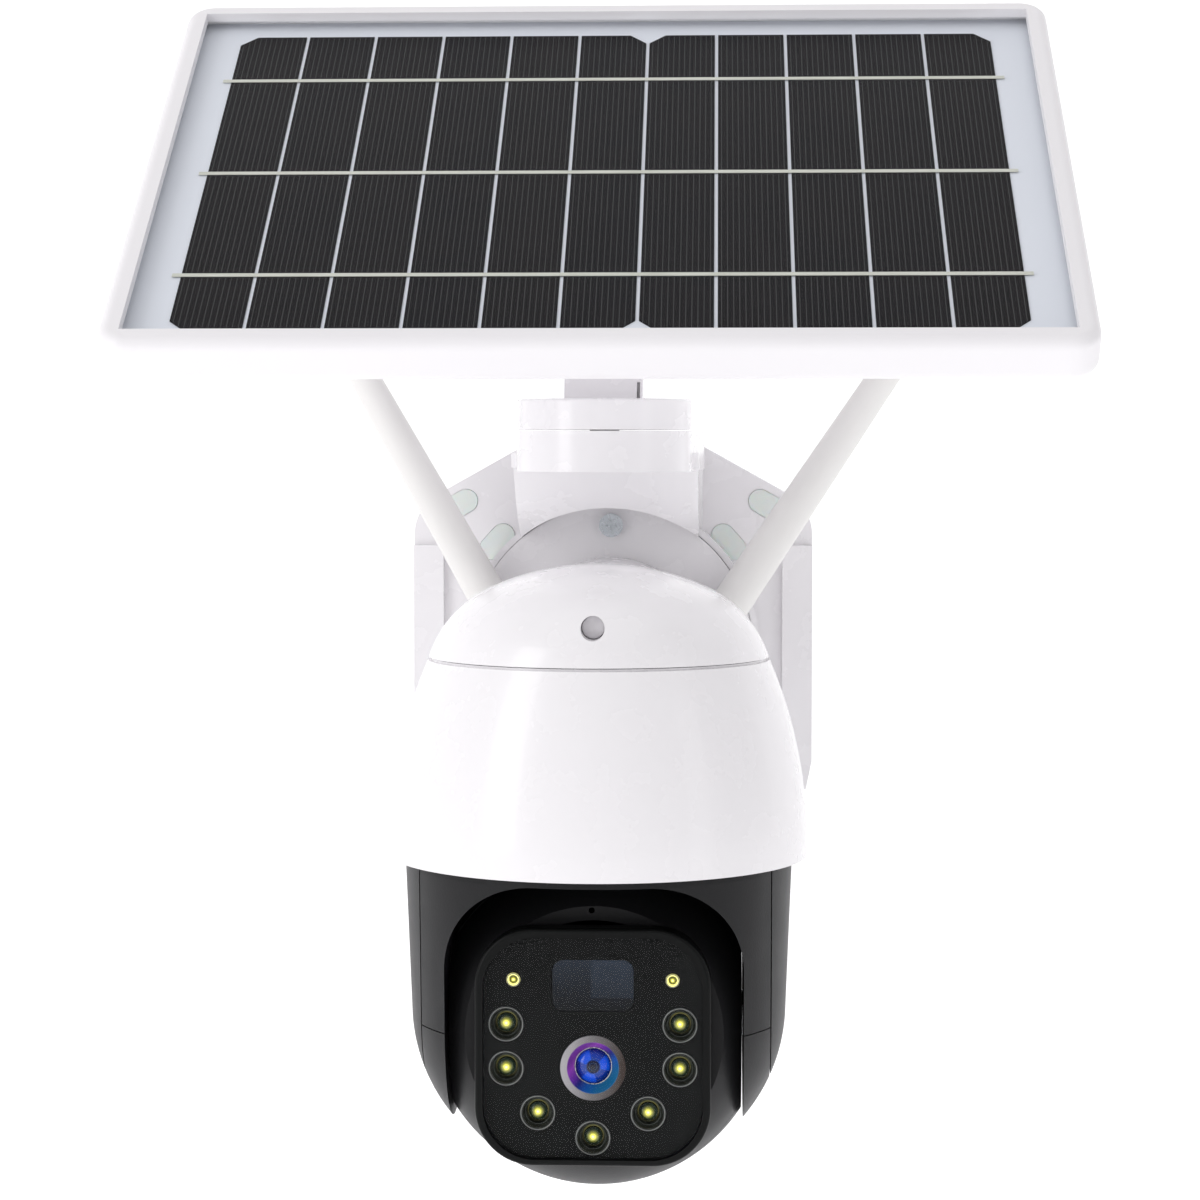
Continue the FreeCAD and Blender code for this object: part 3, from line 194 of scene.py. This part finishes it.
def silicon():
    """Monocrystalline cell strips: near-black nitride with fine printed silver fingers."""
    s = Shader("silicon_cell")
    split = s.new("ShaderNodeSeparateXYZ")
    s.join(s.place, split.inputs[0])
    x = split.outputs["X"]
    shifted = s.maths("ADD", x, STRIP_SHIFT)
    in_strip = s.maths("MODULO", shifted, STRIP_PITCH)
    from_middle = s.maths("ABSOLUTE", s.maths("SUBTRACT", in_strip, STRIP_PITCH / 2))
    step = s.maths("MODULO", from_middle, FINGER_PITCH)
    off_line = s.maths("ABSOLUTE", s.maths("SUBTRACT", step, FINGER_PITCH / 2))
    line = s.between(off_line, 1, 0, FINGER_WIDTH * 0.5, FINGER_WIDTH * 0.9)
    number = s.maths("FLOOR", s.maths("DIVIDE", shifted, STRIP_PITCH))
    per_strip = s.new("ShaderNodeTexWhiteNoise", noise_dimensions="1D")
    s.join(number, per_strip.inputs["W"])
    base = s.blend(per_strip.outputs["Value"], (0.006, 0.006, 0.009), (0.009, 0.008, 0.010))
    mottled = s.blend(s.noise(60, 4), base, (0.011, 0.009, 0.010))
    colour = s.blend(s.maths("MULTIPLY", line, 0.14), mottled, (0.42, 0.42, 0.42))
    relief = s.maths("ADD", s.maths("MULTIPLY", line, 0.5), s.maths("MULTIPLY", s.noise(3000, 2), 0.2))
    s.bump(relief, 0.02 * MM)
    return s.finish(Base_Color=colour, Roughness=s.between(line, 0.32, 0.5),
                    Metallic=s.maths("MULTIPLY", line, 0.2), Specular_IOR_Level=0.06)


def middle(name):
    low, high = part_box(name)
    return (low + high) / 2


def about(s, centre):
    """Distance in millimetres and direction across the front, from a line along Y through centre."""
    split = s.new("ShaderNodeSeparateXYZ")
    s.join(s.place, split.inputs[0])
    right = s.maths("MULTIPLY", s.maths("SUBTRACT", split.outputs["X"], centre.x), 1000)
    up = s.maths("MULTIPLY", s.maths("SUBTRACT", split.outputs["Z"], centre.z), 1000)
    squared = s.maths("ADD", s.maths("MULTIPLY", right, right), s.maths("MULTIPLY", up, up))
    return s.maths("SQRT", squared), right, up


# in millimetres: how far out the coating's rings reach, and the two radii between which the painted shine of
# the ring's cone gives way to the brushed face with its painted shade
COATING_R = 5
LENS_CONE_R = 6.55
LENS_FLAT_R = 6.7


def lens_coating():
    """The coated front element: a dark pupil with rings, and deep blue window-like reflections painted into
    its colour and emission.
    """
    s = Shader("lens_coating")
    r, right, up = about(s, middle("lens_glass"))
    share = s.maths("DIVIDE", r, COATING_R)
    # the blue rings of the colour are partly the coating's own tint and partly painted reflection
    tint = s.ramp(share, [(0.0, (0.001, 0.001, 0.003)), (0.16, (0.002, 0.004, 0.015)),
                          (0.19, (0.01, 0.03, 0.09)), (0.23, (0.001, 0.002, 0.008)),
                          (0.33, (0.002, 0.008, 0.05)), (0.36, (0.01, 0.05, 0.3)),
                          (0.6, (0.004, 0.035, 0.36)), (0.86, (0.002, 0.01, 0.14)),
                          (0.96, (0.002, 0.004, 0.02))])
    # the painted reflection: a wave round the lens, kept to a ring by the band mask
    turn = s.maths("ARCTAN2", up, right)
    wave = s.maths("SINE", s.maths("MULTIPLY_ADD", turn, 3.0, 0.9))
    wide = s.between(wave, 0.0, 1.0, -0.15, 0.25)
    band = s.ramp(share, [(0.0, (0, 0, 0)), (0.34, (0, 0, 0)), (0.4, (1, 1, 1)), (0.78, (1, 1, 1)),
                          (0.9, (0, 0, 0))])
    lit = s.maths("MULTIPLY", wide, band)
    painted_reflection = s.blend(lit, (0.0, 0.003, 0.03), (0.004, 0.09, 0.75))
    s.bump(s.noise(400, 2), 0.000005)
    # the painted reflection is given out as emission
    s.feed(s.principled, Emission_Color=painted_reflection, Emission_Strength=0.5)
    return s.finish(Base_Color=tint, Roughness=s.between(s.noise(90, 2), 0.04, 0.08), Coat_Weight=0.4,
                    Coat_Roughness=0.03, Specular_IOR_Level=0.3)


def lens_trim():
    """The ring round the lens: brushed metal outside with painted shade from light to dark across it, and a
    painted violet to blue shine down its cone that is also given out as emission.
    """
    s = Shader("lens_trim")
    r, right, up = about(s, middle("lens_ring"))
    # slant runs from the lower right to the upper left of the ring; it steers the painted shine and the
    # painted shade
    slant = s.maths("DIVIDE", s.maths("SUBTRACT", up, right), 14)
    painted_sheen = s.ramp(s.maths("ADD", slant, 0.5),
                   [(0.0, (0.005, 0.09, 0.2)), (0.25, (0.004, 0.06, 0.26)), (0.45, (0.012, 0.012, 0.12)),
                    (0.62, (0.10, 0.02, 0.26)), (0.85, (0.22, 0.04, 0.34)), (1.0, (0.12, 0.02, 0.2))])
    lines = s.noise(1500, 3)
    # the brushed grain plus painted shade: lighter towards the upper left, darker towards the lower right
    grey_with_painted_shade = s.ramp(s.maths("ADD", s.maths("MULTIPLY", s.maths("SUBTRACT", slant, right), 0.06),
                          s.maths("MULTIPLY_ADD", lines, 0.1, 0.45)),
                  [(0.0, (0.05, 0.035, 0.03)), (0.5, (0.16, 0.15, 0.155)), (1.0, (0.42, 0.40, 0.42))])
    outer = s.between(r, 0, 1, LENS_CONE_R, LENS_FLAT_R)
    s.bump(lines, 0.00001)
    # the painted shine on the cone is given out as emission
    s.feed(s.principled, Emission_Color=painted_sheen, Emission_Strength=s.between(outer, 0.35, 0.0))
    return s.finish(Base_Color=s.blend(outer, painted_sheen, grey_with_painted_shade), Roughness=s.between(lines, 0.25, 0.4),
                    Metallic=s.maths("MULTIPLY", outer, 0.5), Specular_IOR_Level=0.4)


def lamp_lens(name, radius):
    """A little dome over a lit diode, radius in millimetres: hot yellow, through olive to dark glass."""
    s = Shader(name)
    r = about(s, Vector((0, 0, 0)))[0]
    share = s.maths("DIVIDE", r, radius)
    fine = s.maths("MULTIPLY", s.noise(1500, 2), 0.12)
    spread = s.maths("ADD", share, s.maths("SUBTRACT", fine, 0.06))
    tint = s.ramp(spread, [(0.0, (1.0, 0.95, 0.45)), (0.2, (0.85, 0.78, 0.12)),
                           (0.42, (0.30, 0.30, 0.03)), (0.62, (0.06, 0.075, 0.02)),
                           (0.8, (0.016, 0.03, 0.02)), (0.9, (0.05, 0.07, 0.055)),
                           (1.0, (0.01, 0.012, 0.01))])
    heat = s.ramp(spread, [(0.0, (1.0, 1.0, 1.0)), (0.22, (0.5, 0.5, 0.5)), (0.5, (0.16, 0.16, 0.16)),
                           (0.75, (0.02, 0.02, 0.02)), (1.0, (0, 0, 0))])
    s.feed(s.principled, Emission_Color=tint, Emission_Strength=s.maths("MULTIPLY", heat, 1.5))
    return s.finish(Base_Color=tint, Roughness=s.between(fine, 0.06, 0.14, 0.0, 0.12), Coat_Weight=0.5,
                    Coat_Roughness=0.04)


def lamp_glow():
    """The lit diodes under the domes."""
    s = Shader("lamp_glow")
    fine = s.noise(2500, 2)
    tint = s.blend(fine, (0.9, 0.82, 0.2), (1.0, 0.95, 0.4))
    s.feed(s.principled, Emission_Color=tint, Emission_Strength=0.8)
    s.bump(fine, 0.00001)
    return s.finish(Base_Color=tint, Roughness=s.between(fine, 0.2, 0.4))


def dark_cup():
    """The black reflector cups with a fine turned grain."""
    s = Shader("dark_cup")
    lines = s.noise(1600, 3)
    tint = s.blend(lines, (0.006, 0.007, 0.006), (0.022, 0.025, 0.022))
    s.bump(lines, 0.00001)
    return s.finish(Base_Color=tint, Roughness=s.between(lines, 0.22, 0.4), Metallic=0.3)


def ribbon_tin():
    s = Shader("ribbon_tin")
    lines = s.noise(700, 3, (0.15, 1, 1))
    tint = s.blend(lines, (0.55, 0.55, 0.48), (0.78, 0.78, 0.72))
    s.bump(lines, 0.00002, 0.7)
    return s.finish(Base_Color=tint, Roughness=s.between(lines, 0.3, 0.5), Metallic=0.75)


def face_black():
    """The black print behind the front glass."""
    s = Shader("face_black")
    fine = s.noise(2500, 2)
    tint = s.blend(fine, (0.0035, 0.004, 0.004), (0.0065, 0.007, 0.007))
    s.bump(fine, 0.000004)
    return s.finish(Base_Color=tint, Roughness=s.between(s.noise(60, 2), 0.3, 0.4), Specular_IOR_Level=0.12)


def battery_wrap():
    s = Shader("battery_wrap")
    s.bump(s.noise(300, 2, (1, 1, 0.2)), 0.00003)
    tint = s.blend(s.noise(50, 2), (0.05, 0.2, 0.45), (0.08, 0.27, 0.55))
    return s.finish(Base_Color=tint, Roughness=s.between(s.noise(80, 2), 0.3, 0.4), Coat_Weight=0.4)


def circuit_board():
    s = Shader("circuit_board")
    tracks = s.new("ShaderNodeTexBrick")
    s.feed(tracks, Vector=s.place, Scale=350.0)
    tint = s.blend(tracks.outputs["Fac"], (0.01, 0.09, 0.03), (0.04, 0.2, 0.08))
    s.bump(tracks.outputs["Fac"], 0.00003)
    return s.finish(Base_Color=tint, Roughness=s.between(s.noise(300, 2), 0.35, 0.5))


def dark_window():
    """The smoked window over the light sensor, near black, with painted reflection that turns it navy
    towards the top and a paler painted band.
    """
    s = Shader("dark_window")
    split = s.new("ShaderNodeSeparateXYZ")
    s.join(s.place, split.inputs[0])
    low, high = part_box("sensor_window")
    up = s.between(split.outputs["Z"], 0, 1, low.z, high.z)
    band = s.between(split.outputs["X"], 0, 1, low.x + 9.5 * MM, low.x + 10.5 * MM)
    low_edge = s.between(up, 0, 1, 0.24, 0.27)
    # painted reflection: lighter towards the top, plus a paler painted band on the right above the lowest
    # quarter
    painted_sheen = s.maths("ADD", s.maths("MULTIPLY", s.maths("POWER", up, 1.3), 0.6),
                    s.maths("MULTIPLY", s.maths("MULTIPLY", band, low_edge), 0.35))
    tint = s.blend(painted_sheen, (0.004, 0.005, 0.007), (0.026, 0.036, 0.055))
    s.bump(s.noise(500, 2), 0.000004)
    return s.finish(Base_Color=tint, Roughness=s.between(s.noise(70, 2), 0.12, 0.2), Specular_IOR_Level=0.2)


def dress():
    """Gives every CAD node its finish."""
    finishes = {
        "white_gloss": moulded("white_gloss", (0.885, 0.87, 0.89), 0.27, 0.003, 3000, 0.3, 0.006, 0.002),
        "white_satin": moulded("white_satin", (0.875, 0.86, 0.88), 0.42, 0.01, 2200, 0.0, 0.008, 0.001),
        "antenna_plastic": moulded("antenna_plastic", (0.81, 0.80, 0.785), 0.5, 0.02, 2000, 0.0, 0.015),
        "black_satin": moulded("black_satin", (0.011, 0.011, 0.012), 0.42, 0.03, 1700, 0.0, 0.1, 0.0, 0.2),
        "black_gloss": face_black(),
        "clear_glass": window_glass("clear_glass", (0.985, 0.99, 0.99), 0.05, 0.08),
        "lens_coating": lens_coating(),
        "silver": metal("zinc_plate", (0.66, 0.70, 0.74), 0.28),
        "aluminium": metal("turned_aluminium", (0.72, 0.73, 0.75), 0.3, (1, 1, 6)),
        "seal_rubber": rubber("seal_rubber", (0.03, 0.03, 0.03)),
        "plug_rubber": rubber("plug_rubber", (0.82, 0.87, 0.84), 0.5, 0.3),
        "board": circuit_board(),
        "battery": battery_wrap(),
        "motor_can": metal("motor_can", (0.6, 0.6, 0.6), 0.35, (1, 1, 8)),
        "gear_plastic": moulded("acetal", (0.82, 0.78, 0.66), 0.45, 0.02),
        "backsheet": moulded("backsheet", (0.80, 0.82, 0.89), 0.5, 0.02, 1500, 0.0, 0.015),
        "silicon": silicon(),
        "ribbon": ribbon_tin(),
        "led_reflector": dark_cup(),
        "led_lamp": lamp_glow(),
        "sensor_blue": dark_window(),
    }
    for row in frame["record"]["subparts"]:
        piece = nodes[row["node"]]
        piece.data.materials.clear()
        piece.data.materials.append(finishes[row["material_slot"]])
    trim = nodes["lens_ring"]
    trim.data.materials.clear()
    trim.data.materials.append(lens_trim())
    for name in ("housing_rear", "neck", "yoke_frame", "side_covers", "ear_caps", "panel_post",
                 "panel_lug", "dome_cap", "dome_shroud", "junction_box", "hinge_knob"):
        soften(nodes[name], SOFT_EDGE)


def soften(piece, width):
    """Moulded edges are never knife sharp: a small round over every sharp edge."""
    edge = piece.modifiers.new("soft_edges", "BEVEL")
    edge.width = width
    edge.segments = 2
    edge.limit_method = "ANGLE"
    edge.angle_limit = math.radians(40)
    edge.harden_normals = True


# ------------------------------------------------------------------ small pieces on the face

def lathed(name, outline, centre, material, steps=64, closed=True):
    """A piece turned about a line along Y through centre; outline is (radius, y) in millimetres."""
    shape = bmesh.new()
    rings = []
    for radius, depth in outline:
        if radius < 1e-6:
            rings.append([shape.verts.new((0, depth * MM, 0))])
            continue
        ring = []
        for i in range(steps):
            turn = 2 * math.pi * i / steps
            across = radius * MM * math.cos(turn)
            up = radius * MM * math.sin(turn)
            ring.append(shape.verts.new((across, depth * MM, up)))
        rings.append(ring)
    pairs = list(zip(rings, rings[1:]))
    if closed:
        pairs.append((rings[-1], rings[0]))
    for first, second in pairs:
        for i in range(steps):
            a, b = first[i % len(first)], first[(i + 1) % len(first)]
            c, d = second[(i + 1) % len(second)], second[i % len(second)]
            corners = [v for k, v in enumerate((a, b, c, d)) if v not in (a, b, c, d)[:k]]
            if len(corners) > 2:
                shape.faces.new(corners)
    bmesh.ops.recalc_face_normals(shape, faces=shape.faces)
    mesh = bpy.data.meshes.new(name)
    shape.to_mesh(mesh)
    shape.free()
    for face in mesh.polygons:
        face.use_smooth = True
    piece = bpy.data.objects.new(name, mesh)
    bpy.context.scene.collection.objects.link(piece)
    piece.location = centre
    mesh.materials.append(material)
    return piece


def wire_ring(name, radius, thickness, centre, material):
    """A thin raised ring with a round section."""
    outline = [(radius + thickness * math.cos(math.radians(a)), thickness * math.sin(math.radians(a)))
               for a in range(0, 360, 45)]
    return lathed(name, outline, centre, material)


def dome_outline(radius, rise, steps=10):
    """A shallow cap from its rim to its top, closed by a flat back."""
    return [(radius * math.cos(t), -rise * math.sin(t))
            for t in (math.pi / 2 * i / steps for i in range(steps + 1))] + [(0, 0.3), (radius, 0.3)]


# all in millimetres: x and z of the lights from the face's middle, which is at height FACE_Z;
# depths on the face are counted from the plane y = FACE_Y
LED_SPOTS = ((-22.2, 5), (22.2, 5), (-22.2, -6.4), (22.2, -6.4), (-14.1, -17.8), (14.1, -17.8), (0, -24.2))
SMALL_LED_SPOTS = ((-20.3, 16.4), (20.3, 16.4))
FACE_Y = -175
FACE_Z = -94
LENS_SPOT = (0, -6.2)
# the depth of each kind of piece
RIM_DEPTH = 1.98
STEP_DEPTH = 3.7
LAMP_DEPTH = 4.9
STATUS_DEPTH = 3.3
LENS_RIM_DEPTH = 5.0
LAMP_R = 2.5
STATUS_LENS_R = 1.2
STATUS_R = 1.15


def on_face(x, z, depth):
    """A point of the face; depth counts into the head."""
    return Vector((x, FACE_Y + depth, FACE_Z + z)) * MM


def face_pieces():
    """Rings and domes over the lights, and the thin bright ring round the lens."""
    rim = metal("lamp_rim", (0.30, 0.31, 0.30), 0.35)
    dim = metal("lamp_inner_rim", (0.13, 0.14, 0.13), 0.4)
    bright = metal("lens_rim", (0.62, 0.62, 0.66), 0.25)
    big = lamp_lens("lamp_lens", LAMP_R)
    small = lamp_lens("status_lens", STATUS_LENS_R)
    made = []
    for i, (x, z) in enumerate(LED_SPOTS):
        outer = wire_ring("lamp_rim_%d" % i, 4.3, 0.13, on_face(x, z, RIM_DEPTH), rim)
        inner = wire_ring("lamp_step_%d" % i, 3.25, 0.11, on_face(x, z, STEP_DEPTH), dim)
        dome = lathed("lamp_dome_%d" % i, dome_outline(LAMP_R, 1.5), on_face(x, z, LAMP_DEPTH), big)
        made += [(outer, "led_reflector"), (inner, "led_reflector"), (dome, "led_lamp")]
    for i, (x, z) in enumerate(SMALL_LED_SPOTS):
        outer = wire_ring("status_rim_%d" % i, 1.6, 0.12, on_face(x, z, RIM_DEPTH), rim)
        dome = lathed("status_dome_%d" % i, dome_outline(STATUS_R, 0.8), on_face(x, z, STATUS_DEPTH), small)
        made += [(outer, "led_reflector"), (dome, "led_lamp")]
    made.append((wire_ring("lens_rim", 4.72, 0.14, on_face(*LENS_SPOT, LENS_RIM_DEPTH), bright), "silver"))
    for piece, finish in made:
        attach(piece, "head")


CAP_PLUG_PLACE = (0, -169.9, 12.2)
CAP_PLUG_OUTLINE = ((0, 0), (2.6, 0), (2.9, 0.3), (2.9, 2.2), (0, 2.2))


def cap_plug():
    """The white plug that covers the screw in the well at the front of the dome's cap."""
    finish = nodes["dome_cap"].data.materials[0]
    plug = lathed("cap_plug", CAP_PLUG_OUTLINE, Vector(CAP_PLUG_PLACE) * MM, finish, 48, False)
    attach(plug, "housing")


# ------------------------------------------------------------------ studio

FLOOR_Z = -0.34
FLOOR_FRONT = -3.0
FLOOR_TOP = 3.2
FLOOR_HALF_WIDTH = 4
SWEEP_START = 0.9
SWEEP_R = 0.6
SWEEP_STEPS = 24


def floor():
    """A pale sheet that runs under the object and curves up behind it."""
    profile = [(FLOOR_FRONT, FLOOR_Z)]
    for i in range(SWEEP_STEPS + 1):
        t = math.pi / 2 * i / SWEEP_STEPS
        profile.append((SWEEP_START + SWEEP_R * math.sin(t), FLOOR_Z + SWEEP_R * (1 - math.cos(t))))
    profile.append((SWEEP_START + SWEEP_R, FLOOR_TOP))
    shape = bmesh.new()
    sides = [[shape.verts.new((x, y, z)) for y, z in profile] for x in (-FLOOR_HALF_WIDTH, FLOOR_HALF_WIDTH)]
    for i in range(len(profile) - 1):
        shape.faces.new((sides[0][i], sides[0][i + 1], sides[1][i + 1], sides[1][i]))
    mesh = bpy.data.meshes.new("floor")
    shape.to_mesh(mesh)
    shape.free()
    for face in mesh.polygons:
        face.use_smooth = True
    sheet = bpy.data.objects.new("floor", mesh)
    bpy.context.scene.collection.objects.link(sheet)
    s = Shader("floor_paint")
    tint = s.blend(s.noise(3, 2), (0.93, 0.93, 0.935), (0.95, 0.95, 0.955))
    s.feed(s.principled, Emission_Color=tint, Emission_Strength=0.42)
    mesh.materials.append(s.finish(Base_Color=tint, Roughness=s.between(s.noise(8, 2), 0.75, 0.85)))


MIDDLE_OF_DOME = (0, -0.12, -0.03)
# name, place, what it faces, width, height and watts
SOFTBOXES = (("key_left", (-1.1, -1.0, 0.5), MIDDLE_OF_DOME, 0.5, 1.4, 5.5),
             ("fill_right", (1.25, -0.9, 0.2), MIDDLE_OF_DOME, 0.35, 1.2, 1.0),
             ("top", (0, -0.4, 1.5), (0, -0.1, 0), 1.4, 1.0, 2.0))
ROOM_LEVEL = 0.72
# how the room's light changes along +Y and +X
ROOM_SLOPES = (("Y", 0.2), ("X", -0.14))


def softbox(name, place, aim, width, height, power):
    """A soft rectangular lamp at place, turned to face aim."""
    lamp = bpy.data.lights.new(name, "AREA")
    lamp.shape = "RECTANGLE"
    lamp.size = width
    lamp.size_y = height
    lamp.energy = power
    holder = bpy.data.objects.new(name, lamp)
    bpy.context.scene.collection.objects.link(holder)
    holder.location = place
    holder.rotation_euler = (Vector(aim) - Vector(place)).to_track_quat("-Z", "Y").to_euler()


def studio():
    """A pale room, darker in front so that glass and black plastic stay deep, with the key on the left."""
    world = bpy.data.worlds.new("studio")
    bpy.context.scene.world = world
    world.use_nodes = True
    tree = world.node_tree
    where = tree.nodes.new("ShaderNodeTexCoord")
    split = tree.nodes.new("ShaderNodeSeparateXYZ")
    tree.links.new(where.outputs["Generated"], split.inputs[0])
    level = ROOM_LEVEL
    for axis, share in ROOM_SLOPES:
        step = tree.nodes.new("ShaderNodeMath")
        step.operation = "MULTIPLY_ADD"
        step.inputs[1].default_value = share
        tree.links.new(split.outputs[axis], step.inputs[0])
        if isinstance(level, float):
            step.inputs[2].default_value = level
        else:
            tree.links.new(level, step.inputs[2])
        level = step.outputs[0]
    sky = tree.nodes["Background"]
    sky.inputs["Color"].default_value = (1.0, 0.99, 1.0, 1)
    tree.links.new(level, sky.inputs["Strength"])
    for settings in SOFTBOXES:
        softbox(*settings)


SENSOR_WIDTH = 36
FOCAL_LENGTH = 86.49
CAMERA_PLACE = (0.031, -0.8994, 0.060)
# in degrees: how far the camera looks down, and how far it turns to its left
CAMERA_DOWN = 3.2
CAMERA_TURN = 2.3


def camera():
    view = bpy.data.cameras.new("camera")
    view.sensor_width = SENSOR_WIDTH
    view.lens = FOCAL_LENGTH
    view.clip_start = 0.05
    view.clip_end = 50
    holder = bpy.data.objects.new("camera", view)
    bpy.context.scene.collection.objects.link(holder)
    holder.location = CAMERA_PLACE
    holder.rotation_euler = (math.radians(90 - CAMERA_DOWN), 0, math.radians(CAMERA_TURN))
    bpy.context.scene.camera = holder


dress()
face_pieces()
cap_plug()
floor()
studio()
camera()
scene = bpy.context.scene
scene.view_settings.view_transform = "Standard"
